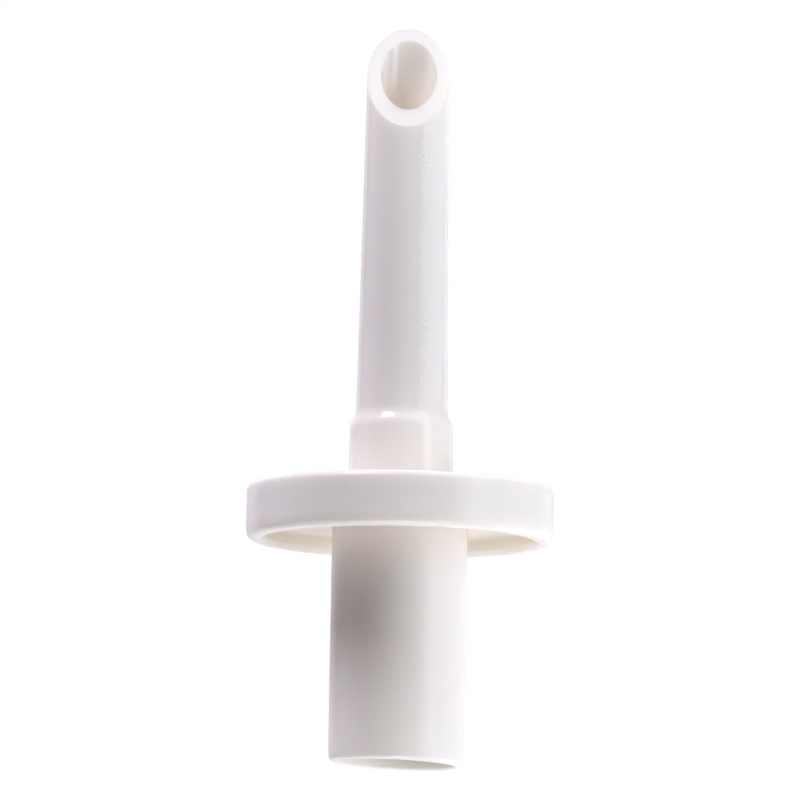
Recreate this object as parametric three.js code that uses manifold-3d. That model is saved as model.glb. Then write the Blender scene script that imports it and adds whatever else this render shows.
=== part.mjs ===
// A saliva ejector tip: a bevelled suction nozzle that turns in a round flange, which plugs into a spigot.
// Lengths are millimetres. +Z is the flow axis, from the open end of the spigot (z = 0) to the mouth of
// the nozzle, and the bevelled mouth faces -Y.
import * as THREE from "three";
import { mergeVertices } from "three/addons/utils/BufferGeometryUtils.js";
import Module from "manifold-3d";

const wasm = await Module();
wasm.setup();

// ---- Driving dimensions -------------------------------------------------------------------------

const FACETS = 48; // flats round every turned surface
const ARC_STEPS = 3; // chords in a rounded edge
const RUN_GAP = 0.05; // radial clearance of a running fit
const FACE_GAP = 0.03; // clearance between faces that rest on each other
const RING_GAP = 0.02; // clearance of a squeezed seal inside its gland

// Heights along the axis.
const Z = {
  spigotEnd: 0,
  tailEnd: 10.7,
  hubEnd: 12,
  rim: 18.2,
  seat: 19.7,
  spigotTop: 19.9,
  plugFloor: 20.7,
  deck: 22.7,
  shoulderFoot: 27.75,
  shoulderHead: 28.65,
  mouthLow: 51.89,
  mouthHigh: 60.95,
};

// Radii from the axis.
const R = {
  spigot: 5.5,
  spigotBore: 4.5,
  tail: 3.2,
  plug: 4,
  tailBore: 2.4,
  mouthBore: 2.25,
  collarFoot: 4.265,
  collarHead: 4.175,
  tubeFoot: 3.73,
  tubeTip: 3.25,
  rimOuter: 12.515,
  deckOuter: 12.485,
  rimStep: 11.6,
  skirtInner: 11,
  recessInner: 10.95,
};

const RIM_STEP = 0.15; // how far the inner lip of the rim stands below its outer band

// Radii of the rounded edges.
const FILLET = {
  spigotBore: 0.3,
  spigotEnd: 0.55,
  recess: 0.4,
  rimInner: 0.15,
  rimOuter: 0.36,
  deckEdge: 0.56,
  collarFoot: 0.1,
  shoulder: 0.4,
};

// Lead-in chamfers: how far in, and how far along the axis.
const HUB_CHAMFER = { across: 0.25, along: 0.4 };
const TAIL_CHAMFER = { across: 0.15, along: 0.2 };

const HUB_RING = { section: 0.8, depth: 0.6, width: 1.1, z: 15.3 };
const PLUG_RING = { section: 1, depth: 0.85, width: 1.2, z: 21.1 };
const RING_CHORDS = 10; // chords round the section of a seal
const CLIP = { thickness: 0.6, floor: 2.8, outer: 3.9, opening: THREE.MathUtils.degToRad(60) };

// ---- Geometry helpers ---------------------------------------------------------------------------

// A closed outline in (radius, height) from its corners [r, z, fillet], going out, up and back in.
function outline(corners) {
  const points = [];
  corners.forEach(([r, z, fillet = 0], i) => {
    const corner = new THREE.Vector2(r, z);
    if (!fillet) {
      points.push(corner);
      return;
    }
    const last = corners.at(i - 1);
    const next = corners[(i + 1) % corners.length];
    const back = new THREE.Vector2(last[0], last[1]).sub(corner).normalize();
    const onward = new THREE.Vector2(next[0], next[1]).sub(corner).normalize();
    const halfAngle = Math.acos(back.dot(onward)) / 2;
    const toTangent = fillet / Math.tan(halfAngle);
    const toCentre = fillet / Math.sin(halfAngle);
    const centre = back.clone().add(onward).setLength(toCentre).add(corner);
    const start = back.clone().multiplyScalar(toTangent).add(corner).sub(centre);
    const end = onward.clone().multiplyScalar(toTangent).add(corner).sub(centre);
    const sweep = Math.atan2(start.cross(end), start.dot(end));
    for (let k = 0; k <= ARC_STEPS; k++) {
      const arm = start.clone().rotateAround(new THREE.Vector2(), (sweep * k) / ARC_STEPS);
      points.push(arm.add(centre));
    }
  });
  points.push(points[0].clone());
  return points;
}

// A solid turned about the flow axis from a closed outline.
function turned(points) {
  return new THREE.LatheGeometry(points, FACETS).rotateX(Math.PI / 2);
}

// A seal squeezed between an inner and an outer wall: a turned ellipse as tall as the free ring.
function squeezedRing(innerRadius, outerRadius, height, z) {
  const across = (outerRadius - innerRadius) / 2 - RING_GAP;
  const middle = (outerRadius + innerRadius) / 2;
  return turned(new THREE.EllipseCurve(middle, z, across, height / 2).getPoints(RING_CHORDS));
}

// The same geometry as a manifold solid, ready for a boolean.
function toSolid(geometry) {
  const plain = new THREE.BufferGeometry();
  plain.setAttribute("position", geometry.getAttribute("position"));
  plain.setIndex(geometry.index);
  const merged = mergeVertices(plain, 1e-4);
  return new wasm.Manifold(
    new wasm.Mesh({
      numProp: 3,
      vertProperties: new Float32Array(merged.attributes.position.array),
      triVerts: new Uint32Array(merged.index.array),
    }),
  );
}

function fromSolid(solid) {
  const mesh = solid.getMesh();
  const geometry = new THREE.BufferGeometry();
  geometry.setAttribute("position", new THREE.BufferAttribute(mesh.vertProperties, 3));
  geometry.setIndex(new THREE.BufferAttribute(mesh.triVerts, 1));
  geometry.computeVertexNormals();
  return geometry;
}

// ---- Sub-parts ----------------------------------------------------------------------------------

// The plain sleeve that pushes into a suction coupling. Its top stands in a shallow recess of the flange.
function spigotGeometry() {
  const top = Z.spigotTop - FACE_GAP;
  return turned(
    outline([
      [R.spigotBore, Z.spigotEnd, FILLET.spigotBore],
      [R.spigot, Z.spigotEnd, FILLET.spigotEnd],
      [R.spigot, top],
      [R.spigotBore, top],
    ]),
  );
}

// A disc with a turned-down skirt outside and a hub inside. The hub plugs into the spigot's bore.
function flangeGeometry() {
  const hub = R.spigotBore - RUN_GAP;
  const gland = hub - HUB_RING.depth;
  return turned(
    outline([
      [R.tail + RUN_GAP, Z.hubEnd],
      [hub - HUB_CHAMFER.across, Z.hubEnd],
      [hub, Z.hubEnd + HUB_CHAMFER.along],
      [hub, HUB_RING.z],
      [gland, HUB_RING.z],
      [gland, HUB_RING.z + HUB_RING.width],
      [hub, HUB_RING.z + HUB_RING.width],
      [hub, Z.spigotTop],
      [R.spigot + RUN_GAP, Z.spigotTop],
      [R.spigot + RUN_GAP, Z.seat],
      [R.recessInner, Z.seat, FILLET.recess],
      [R.skirtInner, Z.rim, FILLET.rimInner],
      [R.rimStep, Z.rim],
      [R.rimStep, Z.rim + RIM_STEP],
      [R.rimOuter, Z.rim + RIM_STEP, FILLET.rimOuter],
      [R.deckOuter, Z.deck, FILLET.deckEdge],
      [R.plug + RUN_GAP, Z.deck],
      [R.plug + RUN_GAP, Z.plugFloor],
      [R.tail + RUN_GAP, Z.plugFloor],
    ]),
  );
}

// The bevelled suction tube: a tail and a plug inside the flange, a collar, a shoulder and the long taper.
function nozzleGeometry() {
  const grooveTop = Z.hubEnd;
  const grooveFoot = Z.tailEnd + CLIP.thickness;
  const gland = R.plug - PLUG_RING.depth;
  const blank = Z.mouthHigh + 1;
  const body = turned(
    outline([
      [R.tailBore, Z.tailEnd],
      [R.tail - TAIL_CHAMFER.across, Z.tailEnd],
      [R.tail, Z.tailEnd + TAIL_CHAMFER.along],
      [R.tail, grooveFoot],
      [CLIP.floor, grooveFoot],
      [CLIP.floor, grooveTop],
      [R.tail, grooveTop],
      [R.tail, Z.plugFloor + FACE_GAP],
      [R.plug, Z.plugFloor + FACE_GAP],
      [R.plug, PLUG_RING.z],
      [gland, PLUG_RING.z],
      [gland, PLUG_RING.z + PLUG_RING.width],
      [R.plug, PLUG_RING.z + PLUG_RING.width],
      [R.plug, Z.deck + FACE_GAP],
      [R.collarFoot, Z.deck + FACE_GAP, FILLET.collarFoot],
      [R.collarHead, Z.shoulderFoot, FILLET.shoulder],
      [R.tubeFoot, Z.shoulderHead, FILLET.shoulder],
      [tubeRadius(blank), blank],
      [R.mouthBore, blank],
    ]),
  );
  return fromSolid(toSolid(body).subtract(toSolid(bevelCutter())));
}

// The outer radius of the long taper at a height.
function tubeRadius(z) {
  const along = (z - Z.shoulderHead) / (Z.mouthHigh - Z.shoulderHead);
  return THREE.MathUtils.lerp(R.tubeFoot, R.tubeTip, along);
}

// A block whose underside is the plane of the mouth, from its low edge at the front to its high edge behind.
function bevelCutter() {
  const low = new THREE.Vector2(-tubeRadius(Z.mouthLow), Z.mouthLow);
  const high = new THREE.Vector2(R.tubeTip, Z.mouthHigh);
  const middle = low.clone().add(high).divideScalar(2);
  const slope = high.clone().sub(low);
  const size = 4 * slope.length();
  return new THREE.BoxGeometry(size, size, size)
    .translate(0, 0, size / 2)
    .rotateX(slope.angle())
    .translate(0, middle.x, middle.y);
}

// A flat open ring that snaps into the tail's groove, under the hub, and holds the nozzle in the flange.
// Its opening faces -Y.
function clipGeometry() {
  const inner = CLIP.floor + RUN_GAP;
  const start = (CLIP.opening - Math.PI) / 2;
  const end = start + 2 * Math.PI - CLIP.opening;
  const shape = new THREE.Shape();
  shape.absarc(0, 0, CLIP.outer, start, end, false);
  shape.absarc(0, 0, inner, end, start, true);
  const options = { depth: CLIP.thickness, bevelEnabled: false, curveSegments: FACETS / 2 };
  return new THREE.ExtrudeGeometry(shape, options);
}

function plugRingGeometry() {
  const floor = R.plug - PLUG_RING.depth;
  const middle = PLUG_RING.z + PLUG_RING.width / 2;
  return squeezedRing(floor, R.plug + RUN_GAP, PLUG_RING.section, middle);
}

function hubRingGeometry() {
  const floor = R.spigotBore - RUN_GAP - HUB_RING.depth;
  const middle = HUB_RING.z + HUB_RING.width / 2;
  return squeezedRing(floor, R.spigotBore, HUB_RING.section, middle);
}

// ---- Materials ----------------------------------------------------------------------------------

const nozzlePlastic = new THREE.MeshStandardMaterial({ color: 0xe6e2e6, roughness: 0.35, metalness: 0 });
const flangePlastic = new THREE.MeshStandardMaterial({ color: 0xe9e4e6, roughness: 0.22, metalness: 0 });
const spigotPlastic = new THREE.MeshStandardMaterial({ color: 0xe8e3e2, roughness: 0.3, metalness: 0 });
const sealRubber = new THREE.MeshStandardMaterial({ color: 0xd9d6cf, roughness: 0.6, metalness: 0 });
const clipPlastic = new THREE.MeshStandardMaterial({ color: 0xf0efec, roughness: 0.4, metalness: 0 });

// ---- Assembly -----------------------------------------------------------------------------------

function named(name, geometry, material) {
  const mesh = new THREE.Mesh(geometry, material);
  mesh.name = name;
  return mesh;
}

const retainingClip = named("retaining_clip", clipGeometry(), clipPlastic);
retainingClip.position.z = Z.hubEnd - RUN_GAP - CLIP.thickness;

// The nozzle, its seal and its clip turn together in the flange.
const swivel = new THREE.Group();
swivel.add(named("nozzle", nozzleGeometry(), nozzlePlastic));
swivel.add(named("nozzle_o_ring", plugRingGeometry(), sealRubber));
swivel.add(retainingClip);

// The flange and its seal pull off the spigot with everything they carry.
const shield = new THREE.Group();
shield.add(named("flange", flangeGeometry(), flangePlastic));
shield.add(named("hub_o_ring", hubRingGeometry(), sealRubber));
shield.add(swivel);

const tip = new THREE.Group();
tip.add(named("spigot", spigotGeometry(), spigotPlastic));
tip.add(shield);

export default tip;
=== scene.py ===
"""Looks of the saliva ejector tip: smooth mouldings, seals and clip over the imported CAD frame.

Metres, +Z from the spigot's open end towards the nozzle's mouth, bevelled mouth facing -Y.
"""
import math

import bmesh
import bpy
from mathutils import Matrix, Vector

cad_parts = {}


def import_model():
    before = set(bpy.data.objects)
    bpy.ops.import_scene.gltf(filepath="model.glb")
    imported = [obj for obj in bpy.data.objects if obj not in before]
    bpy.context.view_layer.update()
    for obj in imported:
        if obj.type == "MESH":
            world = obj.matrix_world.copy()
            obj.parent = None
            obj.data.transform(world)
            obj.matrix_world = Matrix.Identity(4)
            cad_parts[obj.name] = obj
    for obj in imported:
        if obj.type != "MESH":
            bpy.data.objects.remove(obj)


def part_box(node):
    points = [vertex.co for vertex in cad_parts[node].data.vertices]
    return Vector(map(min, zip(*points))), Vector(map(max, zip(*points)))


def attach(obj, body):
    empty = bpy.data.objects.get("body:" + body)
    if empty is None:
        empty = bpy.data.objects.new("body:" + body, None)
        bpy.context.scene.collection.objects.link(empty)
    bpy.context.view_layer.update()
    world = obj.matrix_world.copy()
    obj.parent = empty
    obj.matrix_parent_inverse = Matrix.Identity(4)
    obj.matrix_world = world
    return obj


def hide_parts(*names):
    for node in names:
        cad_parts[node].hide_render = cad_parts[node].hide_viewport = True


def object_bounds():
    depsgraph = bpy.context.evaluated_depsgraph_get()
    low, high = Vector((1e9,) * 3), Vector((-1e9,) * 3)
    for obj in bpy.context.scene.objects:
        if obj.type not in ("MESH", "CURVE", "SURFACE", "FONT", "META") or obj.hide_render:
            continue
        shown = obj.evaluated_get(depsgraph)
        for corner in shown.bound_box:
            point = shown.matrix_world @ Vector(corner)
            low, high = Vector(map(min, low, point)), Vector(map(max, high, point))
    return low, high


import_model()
cad_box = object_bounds()

MM = 0.001
TURN = 2 * math.pi

# ---- Sizes read from the frame ------------------------------------------------------------------

nozzle_low, nozzle_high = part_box("nozzle")
flange_low, flange_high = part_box("flange")
spigot_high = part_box("spigot")[1]
clip_low, clip_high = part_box("retaining_clip")
plug_ring_low, plug_ring_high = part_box("nozzle_o_ring")
hub_ring_low, hub_ring_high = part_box("hub_o_ring")

DECK = flange_high[2]  # top face of the flange
HUB_END = flange_low[2]
MOUTH_HIGH = nozzle_high[2]
TAIL_END = nozzle_low[2]
SPIGOT_TOP = spigot_high[2]
FLANGE_RADIUS = flange_high[0]
SPIGOT_RADIUS = spigot_high[0]
COLLAR_RADIUS = nozzle_high[0]

# ---- Sizes of the details -----------------------------------------------------------------------

RUN_GAP = 0.05 * MM  # radial clearance of a running fit
FACE_GAP = 0.03 * MM  # clearance between faces that rest on each other
SEAL_GAP = 0.02 * MM  # clearance between a seal and the floor of its gland
GLAND_FILLET = 0.1 * MM

SPIGOT_BORE = 4.5 * MM
END_FLARE = 0.2 * MM  # the bore widens by this much at the open end
LEAD_IN = 1.8 * MM  # and over this height
TOP_CHAMFER = 0.15 * MM
END_SLANT = math.tan(math.radians(1.7))  # the spigot's end was cut out of square, lower at +X
END_LEAN = math.tan(math.radians(0.9))  # and lower at the front
END_SQUARED_OVER = 6 * MM  # height at which the sleeve is square again

SEAT = DECK - 3.0 * MM  # floor of the recess under the flange
RIM = DECK - 4.5 * MM  # lowest edge of the skirt
LIP = 11.6 * MM  # radius where the rim's inner band meets its outer one
PLUG_FLOOR = DECK - 2.0 * MM  # floor of the socket for the nozzle's plug
HUB_GLAND_LOW = DECK - 7.4 * MM
HUB_GLAND_HEIGHT = 1.1 * MM
HUB_GLAND_DEPTH = 0.6 * MM

TAIL_RADIUS = 3.2 * MM
PLUG_RADIUS = 4.0 * MM
PLUG_GLAND_LOW = DECK - 1.6 * MM
PLUG_GLAND_HEIGHT = 1.2 * MM
PLUG_GLAND_DEPTH = 0.85 * MM
SHOULDER_FOOT = DECK + 5.05 * MM
SHOULDER_HEAD = DECK + 5.95 * MM
MOUTH_LOW = MOUTH_HIGH - 9.06 * MM
TUBE_FOOT = 3.73 * MM
TUBE_TIP = 3.25 * MM
TUBE_TAPER = (TUBE_TIP - TUBE_FOOT) / (MOUTH_HIGH - SHOULDER_HEAD)
MOUTH_FRONT = TUBE_TIP + TUBE_TAPER * (MOUTH_LOW - MOUTH_HIGH)  # tube radius at the low edge
BEVEL_RISE = (MOUTH_HIGH - MOUTH_LOW) / (TUBE_TIP + MOUTH_FRONT)  # height gained for each metre towards +Y
MOUTH_MIDDLE = MOUTH_HIGH - BEVEL_RISE * TUBE_TIP  # where the plane of the mouth crosses the axis
MOUTH_FILLET = 0.07 * MM
TAIL_BORE = 2.4 * MM
MOUTH_BORE = 2.25 * MM
BORE_TAPER = (MOUTH_BORE - TAIL_BORE) / (MOUTH_HIGH - TAIL_END)
CORE_SHIFT = 0.14 * MM  # how far the bore has wandered off the axis at the mouth
CORE_SHIFT_ANGLE = math.radians(57)

CLIP_GROOVE = 2.8 * MM
CLIP_BORE = 2.85 * MM
CLIP_EDGE = 0.08 * MM
CLIP_OPENING = math.radians(60)
CLIP_STEPS = 120

FRONT = math.radians(-90)  # the bevelled mouth faces this way
FLANGE_LINE = FRONT + math.radians(41)  # mould lines, each at its own angle round the axis
SHOULDER_LINE = FRONT + math.radians(13)
SPIGOT_LINE = FRONT + math.radians(3)
LINE_WIDTH = 0.07 * MM
LINE_HEIGHT = 0.006 * MM

FACETS = 224  # steps round every turned surface
ARC_STEPS = 8  # steps in a rounded edge
SEAL_STEPS = 40  # steps round the section of a seal
SHARP_ANGLE = math.radians(32)


# ---- Mesh helpers -------------------------------------------------------------------------------


def direction(azimuth, elevation):
    """From the object outwards, in degrees. Azimuth 0 is the camera's side (-Y), positive to its right."""
    a = math.radians(azimuth)
    e = math.radians(elevation)
    return Vector((math.sin(a) * math.cos(e), -math.cos(a) * math.cos(e), math.sin(e)))


def rounded(corners):
    """A closed outline of (radius, height) points. A corner is (r, z, fillet, cuts to the next corner)."""
    neither = (0.0, 0)  # stands in where a corner leaves out its fillet or its cuts
    corners = [tuple(c) + neither[len(c) - 2 :] for c in corners]
    runs = []
    for i, (r, z, fillet, cuts) in enumerate(corners):
        here = Vector((r, z))
        if not fillet:
            runs.append(([here], cuts))
            continue
        back = (Vector(corners[i - 1][:2]) - here).normalized()
        onward = (Vector(corners[(i + 1) % len(corners)][:2]) - here).normalized()
        half = back.angle(onward) / 2
        centre = here + (back + onward).normalized() * (fillet / math.sin(half))
        start = here + back * (fillet / math.tan(half)) - centre
        end = here + onward * (fillet / math.tan(half)) - centre
        sweep = math.atan2(start.cross(end), start.dot(end))
        turns = [Matrix.Rotation(sweep * k / ARC_STEPS, 2) for k in range(ARC_STEPS + 1)]
        runs.append(([centre + turn @ start for turn in turns], cuts))
    points = []
    for i, (run, cuts) in enumerate(runs):
        points += run
        ahead = runs[(i + 1) % len(runs)][0][0]
        points += [run[-1].lerp(ahead, (k + 1) / (cuts + 1)) for k in range(cuts)]
    return points


def even_steps():
    return [TURN * k / FACETS for k in range(FACETS)]


def steps_with_line(line, radius):
    """Even steps round the axis, with finer ones over two widths to each side of a mould line."""
    width = LINE_WIDTH / radius
    fine = [line + width * k / 3 for k in range(-6, 7)]
    clear = 2.4 * width  # no even step comes closer to the line than this
    kept = [a for a in even_steps() if abs(math.remainder(a - line, TURN)) > clear]
    return sorted(kept + [a % TURN for a in fine])


def line_height(angle, line, radius):
    """How far a mould line stands out at this angle."""
    along = math.remainder(angle - line, TURN) * radius
    return LINE_HEIGHT * math.exp(-((along / LINE_WIDTH) ** 2))


def with_line(corners, height, beyond):
    """The same corners, with those past a radius moved out by the height of a mould line."""
    return [(r + height if r > beyond else r, *rest) for r, *rest in corners]


def ring_of(mesh, outline, angle):
    """An outline of (radius, height) points stood up at an angle round Z."""
    c = math.cos(angle)
    s = math.sin(angle)
    return [mesh.verts.new((r * c, r * s, z)) for r, z in outline]


def join_rings(mesh, near, far):
    for k in range(len(near)):
        j = (k + 1) % len(near)
        mesh.faces.new((near[k], far[k], far[j], near[j]))


def loft(name, outline_at, angles):
    """A closed solid round Z. outline_at(angle) always gives the same number of (radius, height) points."""
    mesh = bmesh.new()
    rings = [ring_of(mesh, outline_at(angle), angle) for angle in angles]
    for i, ring in enumerate(rings):
        join_rings(mesh, ring, rings[(i + 1) % len(rings)])
    bmesh.ops.recalc_face_normals(mesh, faces=mesh.faces)
    return to_object(name, mesh)


def to_object(name, mesh):
    data = bpy.data.meshes.new(name)
    mesh.to_mesh(data)
    mesh.free()
    data.shade_smooth()
    data.set_sharp_from_angle(angle=SHARP_ANGLE)
    made = bpy.data.objects.new(name, data)
    bpy.context.scene.collection.objects.link(made)
    return made


# ---- Pieces -------------------------------------------------------------------------------------


def spigot():
    """The sleeve. Its open end flares inside, is rounded outside and stands a little out of square."""
    top = SPIGOT_TOP
    outer_wall = SPIGOT_RADIUS - 0.5 * MM
    outline = [
        (SPIGOT_BORE + END_FLARE, 0, 0.22 * MM),
        (SPIGOT_RADIUS - 0.07 * MM, 0, 0.48 * MM),
        (SPIGOT_RADIUS - 0.01 * MM, 1.3 * MM, 0.8 * MM, 12),
        (SPIGOT_RADIUS, top, 0.05 * MM),
        (SPIGOT_BORE + TOP_CHAMFER, top),
        (SPIGOT_BORE, top - TOP_CHAMFER, 0, 12),
        (SPIGOT_BORE, LEAD_IN, 3 * MM, 3),
    ]

    def at(angle):
        line = line_height(angle, SPIGOT_LINE, SPIGOT_RADIUS)
        return rounded(with_line(outline, line, outer_wall))

    made = loft("spigot_moulding", at, steps_with_line(SPIGOT_LINE, SPIGOT_RADIUS))
    for vertex in made.data.vertices:
        fade = max(0.0, 1 - vertex.co.z / END_SQUARED_OVER)
        vertex.co.z += (vertex.co.y * END_LEAN - vertex.co.x * END_SLANT) * fade
    return made


def flange():
    """The disc with its hub, its recess and its skirt. The rim's inner band slopes to the outer one."""
    hub = SPIGOT_BORE - RUN_GAP
    gland = hub - HUB_GLAND_DEPTH
    gland_high = HUB_GLAND_LOW + HUB_GLAND_HEIGHT
    spigot_edge = SPIGOT_RADIUS + RUN_GAP
    recess_top = SPIGOT_TOP + FACE_GAP
    socket = PLUG_RADIUS + RUN_GAP
    skirt = FLANGE_RADIUS - 0.5 * MM
    outline = [
        (TAIL_RADIUS + RUN_GAP, HUB_END),
        (hub - 0.25 * MM, HUB_END),
        (hub, HUB_END + 0.4 * MM),
        (hub, HUB_GLAND_LOW),
        (gland, HUB_GLAND_LOW, GLAND_FILLET),
        (gland, gland_high, GLAND_FILLET),
        (hub, gland_high),
        (hub, recess_top),
        (spigot_edge, recess_top),
        (spigot_edge, SEAT, 0.06 * MM, 6),
        (FLANGE_RADIUS - 1.565 * MM, SEAT, 0.45 * MM),
        (FLANGE_RADIUS - 1.52 * MM, RIM + 0.45 * MM, 0.12 * MM, 2),
        (FLANGE_RADIUS - 1.2 * MM, RIM, 0.08 * MM),
        (LIP, RIM, 0.6 * MM),
        (FLANGE_RADIUS - 0.12 * MM, RIM + 0.12 * MM, 0.6 * MM, 2),
        (FLANGE_RADIUS, RIM + 1.0 * MM, 2 * MM, 4),
        (FLANGE_RADIUS - 0.03 * MM, DECK, 0.56 * MM, 8),
        (socket, DECK, 0.08 * MM),
        (socket, PLUG_FLOOR),
        (TAIL_RADIUS + RUN_GAP, PLUG_FLOOR, 0, 4),
    ]

    def at(angle):
        line = line_height(angle, FLANGE_LINE, FLANGE_RADIUS)
        return rounded(with_line(outline, line, skirt))

    return loft("flange_moulding", at, steps_with_line(FLANGE_LINE, FLANGE_RADIUS))


def bevel_height(radius_at_zero, taper, sine):
    """Where a wall of radius radius_at_zero + taper * z meets the plane of the mouth."""
    slope = BEVEL_RISE * sine
    return (MOUTH_MIDDLE + slope * radius_at_zero) / (1 - slope * taper)


def nozzle():
    """The tail, plug, collar, shoulder and long taper, cut off by the plane of the mouth."""
    groove_low = clip_low[2] - RUN_GAP
    plug_foot = PLUG_FLOOR + FACE_GAP
    gland = PLUG_RADIUS - PLUG_GLAND_DEPTH
    gland_high = PLUG_GLAND_LOW + PLUG_GLAND_HEIGHT
    foot = DECK + FACE_GAP
    tube_zero = TUBE_FOOT - TUBE_TAPER * SHOULDER_HEAD
    bore_zero = TAIL_BORE - BORE_TAPER * TAIL_END

    def at(angle):
        sine = math.sin(angle)
        shift = CORE_SHIFT * math.cos(angle - CORE_SHIFT_ANGLE)
        outer = bevel_height(tube_zero, TUBE_TAPER, sine)
        inner = bevel_height(bore_zero + shift, BORE_TAPER, sine)
        line = line_height(angle, SHOULDER_LINE, COLLAR_RADIUS)
        return rounded([
            (TAIL_BORE, TAIL_END, 0.15 * MM),
            (TAIL_RADIUS - 0.15 * MM, TAIL_END),
            (TAIL_RADIUS, TAIL_END + 0.2 * MM),
            (TAIL_RADIUS, groove_low),
            (CLIP_GROOVE, groove_low),
            (CLIP_GROOVE, HUB_END),
            (TAIL_RADIUS, HUB_END, 0, 8),
            (TAIL_RADIUS, plug_foot),
            (PLUG_RADIUS, plug_foot),
            (PLUG_RADIUS, PLUG_GLAND_LOW),
            (gland, PLUG_GLAND_LOW, GLAND_FILLET),
            (gland, gland_high, GLAND_FILLET),
            (PLUG_RADIUS, gland_high),
            (PLUG_RADIUS, foot),
            (COLLAR_RADIUS, foot, 0.1 * MM, 6),
            (COLLAR_RADIUS - 0.09 * MM + line, SHOULDER_FOOT, 1.7 * MM, 2),
            (TUBE_FOOT + line, SHOULDER_HEAD, 1.9 * MM, 40),
            (tube_zero + TUBE_TAPER * outer, outer, MOUTH_FILLET, 3),
            (bore_zero + shift + BORE_TAPER * inner, inner, MOUTH_FILLET, 60),
        ])

    return loft("nozzle_moulding", at, steps_with_line(SHOULDER_LINE, COLLAR_RADIUS))


def squeezed_ring(name, low, high, gland):
    """A seal between the floor of its gland and the wall outside it, as tall as its box."""
    inner = gland + SEAL_GAP
    middle = (high[0] + inner) / 2
    across = (high[0] - inner) / 2
    tall = (high[2] - low[2]) / 2
    centre = (high[2] + low[2]) / 2
    turns = [TURN * k / SEAL_STEPS for k in range(SEAL_STEPS)]
    points = [(middle + across * math.cos(t), centre + tall * math.sin(t)) for t in turns]
    return loft(name, lambda angle: points, even_steps())


def clip():
    """The open retaining ring: a flat strip with rounded edges, bent round. Its opening faces the front."""
    outer = clip_high[0]
    low = clip_low[2]
    high = clip_high[2]
    corners = [(CLIP_BORE, low), (outer, low), (outer, high), (CLIP_BORE, high)]
    section = rounded([(*corner, CLIP_EDGE) for corner in corners])
    start = FRONT + CLIP_OPENING / 2
    span = TURN - CLIP_OPENING
    mesh = bmesh.new()
    rings = [ring_of(mesh, section, start + span * i / CLIP_STEPS) for i in range(CLIP_STEPS + 1)]
    for near, far in zip(rings, rings[1:]):
        join_rings(mesh, near, far)
    mesh.faces.new(rings[0])
    mesh.faces.new(rings[-1])
    bmesh.ops.recalc_face_normals(mesh, faces=mesh.faces)
    return to_object("snap_clip", mesh)


# ---- Materials ----------------------------------------------------------------------------------

WHITE = (0.96, 0.908, 0.85)  # warm, so that it comes out nearly neutral in bluish light
SEAL_WHITE = (0.8, 0.78, 0.74)
CLIP_WHITE = (0.86, 0.84, 0.8)
PAINTED_BOUNCE_TINT = (1.0, 0.89, 0.79)  # painted warm bounce light: deep in the spigot's bore, and the flange inside its rim
PAINTED_END_LIGHT_TINT = (1.0, 0.935, 0.85)  # painted light: the spigot's bore near its open end, where daylight still reaches it
PAINTED_BORE_BOUNCE_TINT = (1.0, 0.89, 0.805)  # painted warm bounce light in the nozzle's bore
# painted reflection of a light in the nozzle's bore
PAINTED_REFLECTION_TINT = (1.0, 0.96, 0.9)
PAINTED_SHADE_CUT_TINT = (0.9, 0.88, 0.79)  # painted shade: the bevelled face of the mouth, darker and warmer to tone down the bluish light it catches
SPECK_TINT = (0.82, 0.78, 0.78)

PLASTIC_IOR = 1.49
SCATTER = (1.0, 0.9, 0.82)  # red light goes deepest
CLOUD_SCALE = 350
CLOUD_SHADE = 0.97  # the darkest that the cloudiness makes a colour
RIPPLE_SCALE = 700
GRAIN_SCALE = 4500
GRAIN_HEIGHT = 0.1 * MM
NOZZLE_ROUGHNESS = 0.1
BORE_ROUGHNESS = 0.05
GRAIN_ROUGHNESS = 0.02  # what the grain adds
TUBE_WALL = 2.6 * MM  # a radius inside the wall of the tube: between its bore and its outside

# Each pair is where a mark is still whole and where it has faded out.
GRAIN_MIDDLE = math.radians(28)  # a band of coarser mould grain runs up this side of the tube
GRAIN_FADE = (0.1, 0.24)  # radians to each side
PAINTED_REFLECTION_MIDDLE = math.radians(-152)  # a painted reflection of a light, a pale streak, runs down this side of the bore
PAINTED_REFLECTION_FADE = (0.08, 0.13)  # radians to each side
PAINTED_REFLECTION_DEPTH = (2.0 * MM, 5.0 * MM)  # under the mouth
PAINTED_END_LIGHT_DEPTH = (1.0 * MM, 6.0 * MM)  # how far the painted light reaches in from the spigot's open end
PAINTED_SHADE_CUT_DEPTH = (0.02 * MM, 0.08 * MM)  # under the mouth


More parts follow.
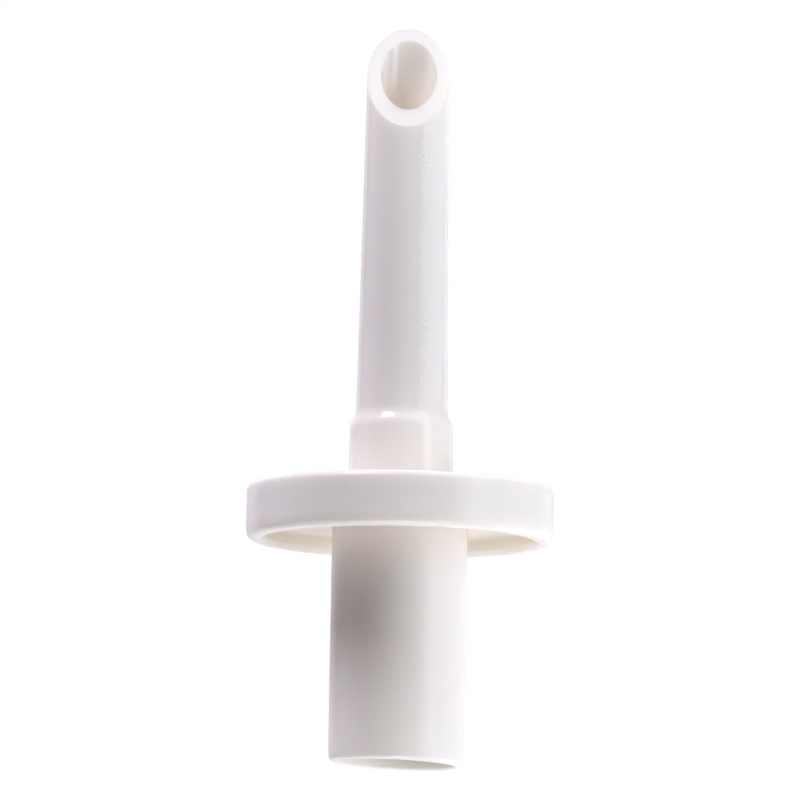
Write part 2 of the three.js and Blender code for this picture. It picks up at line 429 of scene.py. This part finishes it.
class Nodes:
    """A short way to lay down shader nodes."""

    def __init__(self, name):
        self.material = bpy.data.materials.new(name)
        self.material.use_nodes = True
        self.tree = self.material.node_tree
        self.tree.nodes.clear()
        self.output = self.add("ShaderNodeOutputMaterial")

    def add(self, kind, **values):
        """A new node. A value goes to the input of that name, or else to the node's own setting."""
        node = self.tree.nodes.new(kind)
        for key, value in values.items():
            if key in node.inputs:
                node.inputs[key].default_value = value
            else:
                setattr(node, key, value)
        return node

    def link(self, source, target):
        self.tree.links.new(source, target)

    def place(self):
        return self.add("ShaderNodeTexCoord").outputs["Object"]

    def axes(self):
        split = self.add("ShaderNodeSeparateXYZ")
        self.link(self.place(), split.inputs["Vector"])
        return split.outputs

    def noise(self, scale, detail):
        noise = self.add("ShaderNodeTexNoise", Scale=scale, Detail=detail)
        self.link(self.place(), noise.inputs["Vector"])
        return noise.outputs["Fac"]

    def mix(self, amount, low, high):
        """Blend of two colours, each a colour or another node's output."""
        node = self.add("ShaderNodeMix", data_type="RGBA")
        self.link(amount, node.inputs[0])
        for socket, value in zip(node.inputs[6:8], (low, high)):
            if isinstance(value, (tuple, list)):
                socket.default_value = (*value, 1)
            else:
                self.link(value, socket)
        return node.outputs[2]

    def ramp(self, source, low, high, from_low=0.0, from_high=1.0):
        """A straight ramp from low to high, level outside its stretch."""
        ends = {"From Min": from_low, "From Max": from_high, "To Min": low, "To Max": high}
        remap = self.add("ShaderNodeMapRange", **ends)
        self.link(source, remap.inputs["Value"])
        return remap.outputs["Result"]

    def maths(self, operation, *values):
        node = self.add("ShaderNodeMath", operation=operation)
        for socket, value in zip(node.inputs, values):
            if isinstance(value, (int, float)):
                socket.default_value = value
            else:
                self.link(value, socket)
        return node.outputs["Value"]

    def height(self):
        return self.axes()["Z"]

    def mouth_depth(self):
        """How far a point lies under the sloping plane of the mouth."""
        axes = self.axes()
        plane = self.maths("ADD", self.maths("MULTIPLY", axes["Y"], BEVEL_RISE), MOUTH_MIDDLE)
        return self.maths("SUBTRACT", plane, axes["Z"])

    def angle_from(self, middle):
        """Angle from a line up the side. Angles are 0 at the front and grow to the viewer's right."""
        axes = self.axes()
        turn = self.maths("ARCTAN2", axes["X"], self.maths("MULTIPLY", axes["Y"], -1))
        return self.maths("ABSOLUTE", self.maths("SUBTRACT", turn, middle))

    def radius(self):
        flat = self.add("ShaderNodeVectorMath", operation="MULTIPLY")
        flat.inputs[1].default_value = (1, 1, 0)
        length = self.add("ShaderNodeVectorMath", operation="LENGTH")
        self.link(self.place(), flat.inputs[0])
        self.link(flat.outputs["Vector"], length.inputs[0])
        return length.outputs["Value"]

    def distance(self, point):
        gap = self.add("ShaderNodeVectorMath", operation="DISTANCE")
        gap.inputs[1].default_value = point
        self.link(self.place(), gap.inputs[0])
        return gap.outputs["Value"]


class Plastic(Nodes):
    """Translucent moulded plastic with a faint cloudiness. Its colour, polish and relief can be set."""

    def __init__(self, name, tint, depth):
        super().__init__(name)
        scatter = {"Subsurface Weight": 1.0, "Subsurface Radius": SCATTER, "Subsurface Scale": depth}
        self.shader = self.add("ShaderNodeBsdfPrincipled", IOR=PLASTIC_IOR, **scatter)
        self.link(self.shader.outputs["BSDF"], self.output.inputs["Surface"])
        self.cloud = self.noise(CLOUD_SCALE, detail=3.0)
        self.paint(self.mix(self.cloud, [c * CLOUD_SHADE for c in tint], tint))

    def paint(self, colour):
        self.colour = colour
        self.link(colour, self.shader.inputs["Base Color"])

    def polish(self, roughness):
        self.link(roughness, self.shader.inputs["Roughness"])

    def cloudy_polish(self, roughness):
        """A polish that isn't quite even: it varies with the cloudiness."""
        self.polish(self.ramp(self.cloud, roughness * 0.9, roughness * 1.1))

    def bump(self, height, distance):
        """Relief of the skin. A height of 1 stands for the distance."""
        bump = self.add("ShaderNodeBump", Distance=distance)
        self.link(height, bump.inputs["Height"])
        self.link(bump.outputs["Normal"], self.shader.inputs["Normal"])

    def ripple(self, amount):
        """The slow ripple of a polished mould surface."""
        self.bump(self.noise(RIPPLE_SCALE, detail=2.0), amount)

    def paint_bounce_light_inside(self, edge, tint):
        """Painted warm bounce light: a warmer tint on everything nearer the axis than edge, standing in for
        light that bounces round in there.
        """
        inside = self.ramp(self.radius(), 1.0, 0.0, edge - 0.1 * MM, edge)
        self.paint(self.mix(inside, self.colour, tint))

    def speck(self, wall, azimuth, height, size):
        """A tiny dark inclusion in the round wall of this radius, at an azimuth in degrees and a height."""
        centre = direction(azimuth, 0) * wall + Vector((0, 0, height))
        mark = self.ramp(self.distance(centre), 1.0, 0.0, 0.3 * size, size)
        self.paint(self.mix(mark, self.colour, SPECK_TINT))


def painted_bore_light(plastic):
    """Painted warm bounce light over the bore, with a painted reflection: a pale streak that fades out
    below the mouth.
    """
    fade = plastic.ramp(plastic.mouth_depth(), 1.0, 0.0, *PAINTED_REFLECTION_DEPTH)
    across = plastic.ramp(plastic.angle_from(PAINTED_REFLECTION_MIDDLE), 1.0, 0.0, *PAINTED_REFLECTION_FADE)
    streak = plastic.maths("MULTIPLY", across, fade)
    return plastic.mix(streak, PAINTED_BORE_BOUNCE_TINT, PAINTED_REFLECTION_TINT)


def grain_height(plastic, grained):
    """Sparkling grain in metres, in a band up one side of the grained part of the tube."""
    side = plastic.ramp(plastic.angle_from(GRAIN_MIDDLE), 1.0, 0.0, *GRAIN_FADE)
    strength = plastic.maths("MULTIPLY", plastic.maths("MULTIPLY", grained, side), GRAIN_HEIGHT)
    return plastic.maths("MULTIPLY", plastic.noise(GRAIN_SCALE, detail=2.0), strength)


def nozzle_plastic():
    """Polished, smoothest in the bore, and a little rougher on the grained tube above the shoulder."""
    plastic = Plastic("nozzle_plastic", WHITE, depth=1.2 * MM)
    above = plastic.ramp(plastic.height(), 0.0, 1.0, SHOULDER_HEAD - 0.1 * MM, SHOULDER_HEAD + 0.3 * MM)
    below_mouth = plastic.ramp(plastic.mouth_depth(), 0.0, 1.0, 0.03 * MM, 0.12 * MM)
    outside = plastic.ramp(plastic.radius(), 0.0, 1.0, TUBE_WALL, TUBE_WALL + 0.2 * MM)
    in_bore = plastic.ramp(plastic.radius(), 1.0, 0.0, TUBE_WALL, TUBE_WALL + 0.1 * MM)
    grained = plastic.maths("MULTIPLY", plastic.maths("MULTIPLY", above, outside), below_mouth)
    inside = plastic.maths("MULTIPLY", below_mouth, in_bore)
    # painted shade on the bevelled face of the mouth
    cut = plastic.ramp(plastic.mouth_depth(), 1.0, 0.0, *PAINTED_SHADE_CUT_DEPTH)
    plastic.paint(plastic.mix(cut, plastic.colour, PAINTED_SHADE_CUT_TINT))
    # painted warm bounce light and a painted reflection in the bore
    plastic.paint(plastic.mix(inside, plastic.colour, painted_bore_light(plastic)))
    smooth = plastic.ramp(inside, NOZZLE_ROUGHNESS, BORE_ROUGHNESS)
    plastic.polish(plastic.maths("ADD", smooth, plastic.ramp(grained, 0.0, GRAIN_ROUGHNESS)))
    plastic.bump(grain_height(plastic, grained), distance=1.0)
    return plastic.material


def flange_plastic():
    plastic = Plastic("flange_plastic", WHITE, depth=0.8 * MM)
    plastic.cloudy_polish(0.26)
    plastic.speck(FLANGE_RADIUS, azimuth=-20.8, height=21.3 * MM, size=0.14 * MM)
    # painted warm bounce light inside the rim and the recess
    plastic.paint_bounce_light_inside(11.2 * MM, PAINTED_BOUNCE_TINT)
    plastic.ripple(0.0012 * MM)
    return plastic.material


def spigot_plastic():
    plastic = Plastic("spigot_plastic", WHITE, depth=0.9 * MM)
    plastic.cloudy_polish(0.3)
    plastic.speck(SPIGOT_RADIUS, azimuth=-31.6, height=3.8 * MM, size=0.12 * MM)
    plastic.speck(SPIGOT_RADIUS, azimuth=-27.9, height=9.15 * MM, size=0.1 * MM)
    # painted light in the bore near the open end, turning to painted warm bounce light further in
    inward = plastic.ramp(plastic.height(), 0.0, 1.0, *PAINTED_END_LIGHT_DEPTH)
    plastic.paint_bounce_light_inside(4.8 * MM, plastic.mix(inward, PAINTED_END_LIGHT_TINT, PAINTED_BOUNCE_TINT))
    plastic.ripple(0.002 * MM)
    return plastic.material


def seal_rubber():
    plastic = Plastic("seal_rubber", SEAL_WHITE, depth=0.5 * MM)
    plastic.cloudy_polish(0.5)
    plastic.ripple(0.006 * MM)
    return plastic.material


def clip_plastic():
    plastic = Plastic("clip_plastic", CLIP_WHITE, depth=0.4 * MM)
    plastic.cloudy_polish(0.45)
    plastic.ripple(0.008 * MM)
    return plastic.material


# ---- The studio ---------------------------------------------------------------------------------

CENTRE = Vector((0, 0, (cad_box[0][2] + cad_box[1][2]) / 2))
LIGHT_DISTANCE = 0.6
FLOOR_DROP = 0.3 * MM
FLOOR_SIZE = 0.5  # from the middle to each side, inside the ring of lights
FLOOR_DARK = (0.8, 0.8, 0.8)
FLOOR_PALE = (0.84, 0.84, 0.84)
FLOOR_CLOUD_SCALE = 60
AMBIENT = (1.0, 0.58, 0.85)
AMBIENT_STRENGTH = 0.035

DAY = (0.875, 0.92, 1.0)
LILAC = (0.88, 0.855, 1.0)
COOL = (0.9, 0.88, 1.0)
PALE = (0.92, 0.91, 1.0)
WARM = (1.0, 0.93, 0.86)


def softbox(name, azimuth, elevation, width, height, power, colour, mirrored=True):
    """A soft light that faces the object. One that isn't mirrored makes no highlights."""
    data = bpy.data.lights.new(name, "AREA")
    data.shape = "RECTANGLE"
    data.size = width
    data.size_y = height
    data.energy = power
    data.color = colour
    light = bpy.data.objects.new(name, data)
    outward = direction(azimuth, elevation)
    light.location = CENTRE + outward * LIGHT_DISTANCE
    light.rotation_mode = "QUATERNION"
    light.rotation_quaternion = outward.to_track_quat("Z", "Y")
    light.visible_camera = False
    light.visible_glossy = mirrored
    bpy.context.scene.collection.objects.link(light)


def lights():
    """A tall key on the right, high boxes on the left, weaker ones round them, and a backdrop behind."""
    softbox("key_right", 67, 5, 0.46, 0.6, 1.6, DAY, mirrored=False)
    softbox("key_core", 60, 5, 0.2, 0.6, 0.95, DAY)
    softbox("high_left", -46, 57, 0.23, 0.23, 1.4, LILAC)
    softbox("high_front", 0, 52, 0.3, 0.3, 0.3, WARM, mirrored=False)
    softbox("higher_left", -60, 65, 0.4, 0.2, 1.35, COOL, mirrored=False)
    softbox("far_left", -85, 58, 0.5, 0.24, 1.45, COOL, mirrored=False)
    softbox("high_right", 60, 45, 0.3, 0.3, 0.35, DAY)
    softbox("side_left", -100, 5, 0.4, 0.6, 0.45, COOL, mirrored=False)
    softbox("side_right", 112, 5, 0.3, 0.6, 0.8, PALE, mirrored=False)
    softbox("low_right", 75, -40, 0.5, 0.5, 1.25, PALE, mirrored=False)
    softbox("low_front", 20, -72, 0.3, 0.3, 0.9, DAY)
    softbox("low_back", 150, -50, 0.6, 0.4, 0.6, PALE)
    softbox("low_left", -90, -50, 0.5, 0.5, 0.7, PALE)
    softbox("below", 0, -88, 0.4, 0.4, 0.9, WARM)
    softbox("backdrop", 180, 0, 1.2, 1.2, 3.6, PALE)


def world():
    """White seen by the camera, and a faint rosy light for everything else."""
    made = bpy.data.worlds.new("studio")
    made.use_nodes = True
    tree = made.node_tree
    tree.nodes.clear()
    output = tree.nodes.new("ShaderNodeOutputWorld")
    mix = tree.nodes.new("ShaderNodeMixShader")
    path = tree.nodes.new("ShaderNodeLightPath")
    tree.links.new(path.outputs["Is Camera Ray"], mix.inputs["Fac"])
    tree.links.new(mix.outputs["Shader"], output.inputs["Surface"])
    skies = ((AMBIENT, AMBIENT_STRENGTH), ((1, 1, 1), 1.0))
    for socket, (colour, strength) in zip(mix.inputs[1:], skies):
        sky = tree.nodes.new("ShaderNodeBackground")
        sky.inputs["Color"].default_value = (*colour, 1)
        sky.inputs["Strength"].default_value = strength
        tree.links.new(sky.outputs["Background"], socket)
    bpy.context.scene.world = made


def floor_paint():
    """Pale paint, clear from below, where the camera looks up through it."""
    n = Nodes("pale_floor")
    paint = n.add("ShaderNodeBsdfDiffuse", Roughness=0.6)
    cloud = n.noise(FLOOR_CLOUD_SCALE, detail=3.0)
    n.link(n.mix(cloud, FLOOR_DARK, FLOOR_PALE), paint.inputs["Color"])
    clear = n.add("ShaderNodeBsdfTransparent")
    face = n.add("ShaderNodeNewGeometry")
    mix = n.add("ShaderNodeMixShader")
    n.link(face.outputs["Backfacing"], mix.inputs["Fac"])
    n.link(paint.outputs["BSDF"], mix.inputs[1])
    n.link(clear.outputs["BSDF"], mix.inputs[2])
    n.link(mix.outputs["Shader"], n.output.inputs["Surface"])
    return n.material


def floor():
    """A pale floor just under the spigot. It takes shadows, and throws neither light nor shadow itself."""
    mesh = bmesh.new()
    bmesh.ops.create_grid(mesh, x_segments=4, y_segments=4, size=FLOOR_SIZE)
    made = to_object("floor", mesh)
    made.location.z = cad_box[0][2] - FLOOR_DROP
    made.visible_diffuse = False
    made.visible_glossy = False
    made.visible_transmission = False
    made.visible_shadow = False
    made.data.materials.append(floor_paint())


CAMERA_ELEVATION = -7.1
CAMERA_DISTANCE = 1.5
CAMERA_ROLL = math.radians(1.06)
SENSOR_WIDTH = 36.0
VIEW_WIDTH = 65.15 * MM  # what the picture spans at the object
AIM = Vector((-0.17 * MM, 0, 29.85 * MM))


def camera():
    data = bpy.data.cameras.new("camera")
    data.sensor_width = SENSOR_WIDTH
    data.lens = SENSOR_WIDTH * CAMERA_DISTANCE / VIEW_WIDTH
    data.clip_start = 0.05
    data.clip_end = 20.0
    made = bpy.data.objects.new("camera", data)
    outward = direction(0, CAMERA_ELEVATION)
    made.location = AIM + outward * CAMERA_DISTANCE
    made.rotation_mode = "QUATERNION"
    roll = Matrix.Rotation(CAMERA_ROLL, 4, "Z").to_quaternion()
    made.rotation_quaternion = outward.to_track_quat("Z", "Y") @ roll
    bpy.context.scene.collection.objects.link(made)
    bpy.context.scene.camera = made


# ---- Build --------------------------------------------------------------------------------------


def put(piece, body, node, material):
    """The piece stands for a CAD node, rides on its body and takes a material."""
    piece.data.materials.append(material)
    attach(piece, body)
    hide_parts(node)


def build():
    rubber = seal_rubber()
    put(spigot(), "spigot", "spigot", spigot_plastic())
    put(flange(), "shield", "flange", flange_plastic())
    put(nozzle(), "nozzle", "nozzle", nozzle_plastic())
    plug_gland = PLUG_RADIUS - PLUG_GLAND_DEPTH
    plug_seal = squeezed_ring("plug_seal", plug_ring_low, plug_ring_high, plug_gland)
    put(plug_seal, "nozzle", "nozzle_o_ring", rubber)
    hub_gland = SPIGOT_BORE - RUN_GAP - HUB_GLAND_DEPTH
    hub_seal = squeezed_ring("hub_seal", hub_ring_low, hub_ring_high, hub_gland)
    put(hub_seal, "shield", "hub_o_ring", rubber)
    put(clip(), "nozzle", "retaining_clip", clip_plastic())


build()
floor()
world()
lights()
camera()
bpy.context.scene.view_settings.view_transform = "Standard"
